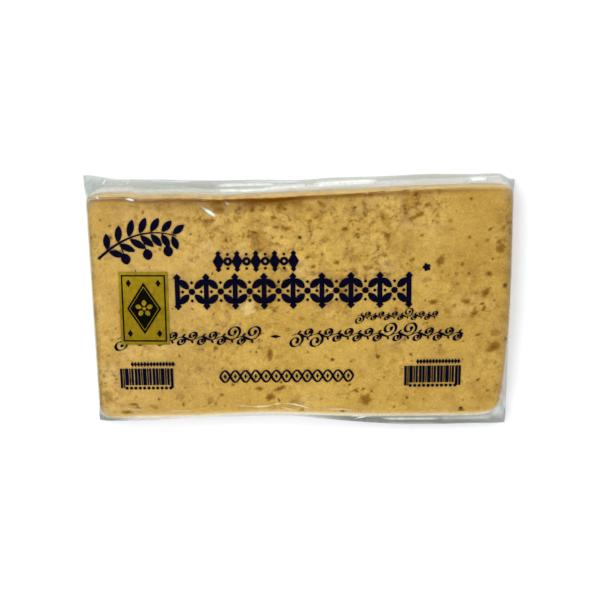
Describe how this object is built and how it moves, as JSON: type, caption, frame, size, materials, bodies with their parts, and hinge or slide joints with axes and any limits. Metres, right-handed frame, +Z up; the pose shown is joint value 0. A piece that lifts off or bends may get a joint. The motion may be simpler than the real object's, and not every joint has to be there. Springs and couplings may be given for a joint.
{
  "type": "wrapped nougat block",
  "caption": "Flat rectangular block of soft almond nougat sealed in a clear printed film pack with loose film edges, with a foil seal label on its face.",
  "frame": {"origin": "middle of the underside of the whole pack, on the surface it rests on", "axes": "+X along the block to the right end, +Y across it to the back edge with the wide loose film, +Z up out of the printed face"},
  "size_m": [0.1908, 0.1178, 0.0142],
  "materials": {
    "nougat": "soft pressed almond nougat, matte and slightly oily, with paler crumbs, small pits and toasted almond pieces",
    "clear_film": "thin clear polypropylene film, glossy, with creases and streaks at its edges",
    "navy_ink": "opaque navy print on the film",
    "gold_foil": "satin gold foil sticker",
    "black_ink": "opaque black print on the foil"
  },
  "bodies": {
    "root": {"film_wrapped_block": "nougat", "seal_label": "gold_foil"}
  },
  "joints": []
}
